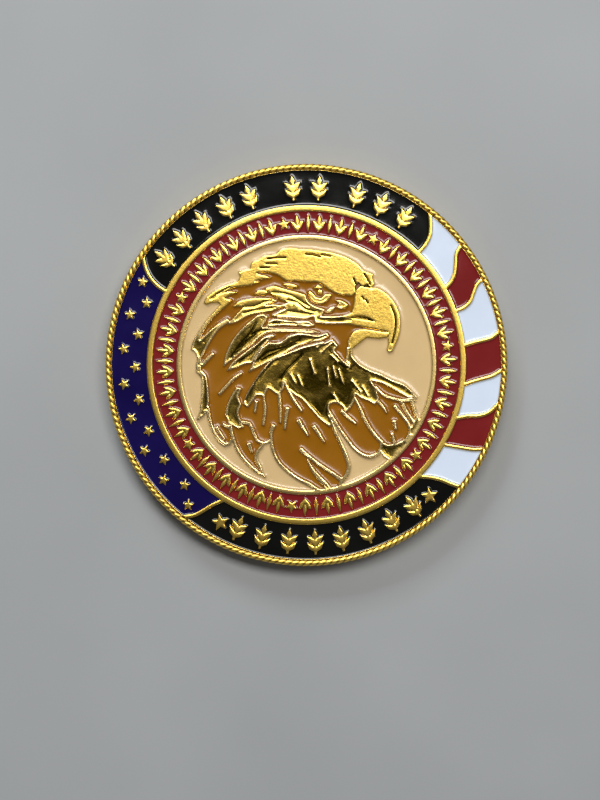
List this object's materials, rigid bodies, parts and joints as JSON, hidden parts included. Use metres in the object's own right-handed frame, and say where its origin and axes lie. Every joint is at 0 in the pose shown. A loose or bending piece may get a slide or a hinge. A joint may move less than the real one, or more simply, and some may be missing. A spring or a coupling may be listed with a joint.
{
  "type": "challenge coin",
  "caption": "Round gold-plated challenge coin with a rope edge, soft enamel fields, a striped and starred band and an eagle's head in relief.",
  "frame": {"origin": "middle of the underside, on the surface that the coin lies on", "axes": "+Z out of the front face, +Y towards the top of the artwork, +X to the right of the artwork seen from the front"},
  "size_m": [0.04, 0.04, 0.003],
  "materials": {
    "gold_plate": "bright gold plate over struck brass, fine die texture on the relief",
    "black_enamel": "glossy soft enamel, a little below the raised metal",
    "blue_enamel": "glossy soft enamel, a little below the raised metal",
    "white_enamel": "glossy soft enamel, a little below the raised metal",
    "red_enamel": "glossy soft enamel, a little below the raised metal",
    "cream_enamel": "satin soft enamel, a little below the raised metal",
    "brown_enamel": "glossy soft enamel, a little below the raised metal"
  },
  "bodies": {
    "root": {"coin_body": "gold_plate", "top_banner_black_enamel": "black_enamel", "white_stripe_1_enamel": "white_enamel", "red_stripe_1_enamel": "red_enamel", "white_stripe_2_enamel": "white_enamel", "red_stripe_2_enamel": "red_enamel", "white_stripe_3_enamel": "white_enamel", "red_stripe_3_enamel": "red_enamel", "white_stripe_4_enamel": "white_enamel", "bottom_banner_black_enamel": "black_enamel", "canton_blue_enamel": "blue_enamel", "verse_ring_red_enamel": "red_enamel", "cream_field_enamel": "cream_enamel", "cream_tongue_enamel": "cream_enamel", "face_brown_enamel": "brown_enamel", "mane_brown_enamel": "brown_enamel", "first_feather_brown_enamel": "brown_enamel", "fourth_feather_brown_enamel": "brown_enamel", "fifth_feather_brown_enamel": "brown_enamel", "side_feather_brown_enamel": "brown_enamel", "edge_feather_brown_enamel": "brown_enamel"}
  },
  "joints": []
}
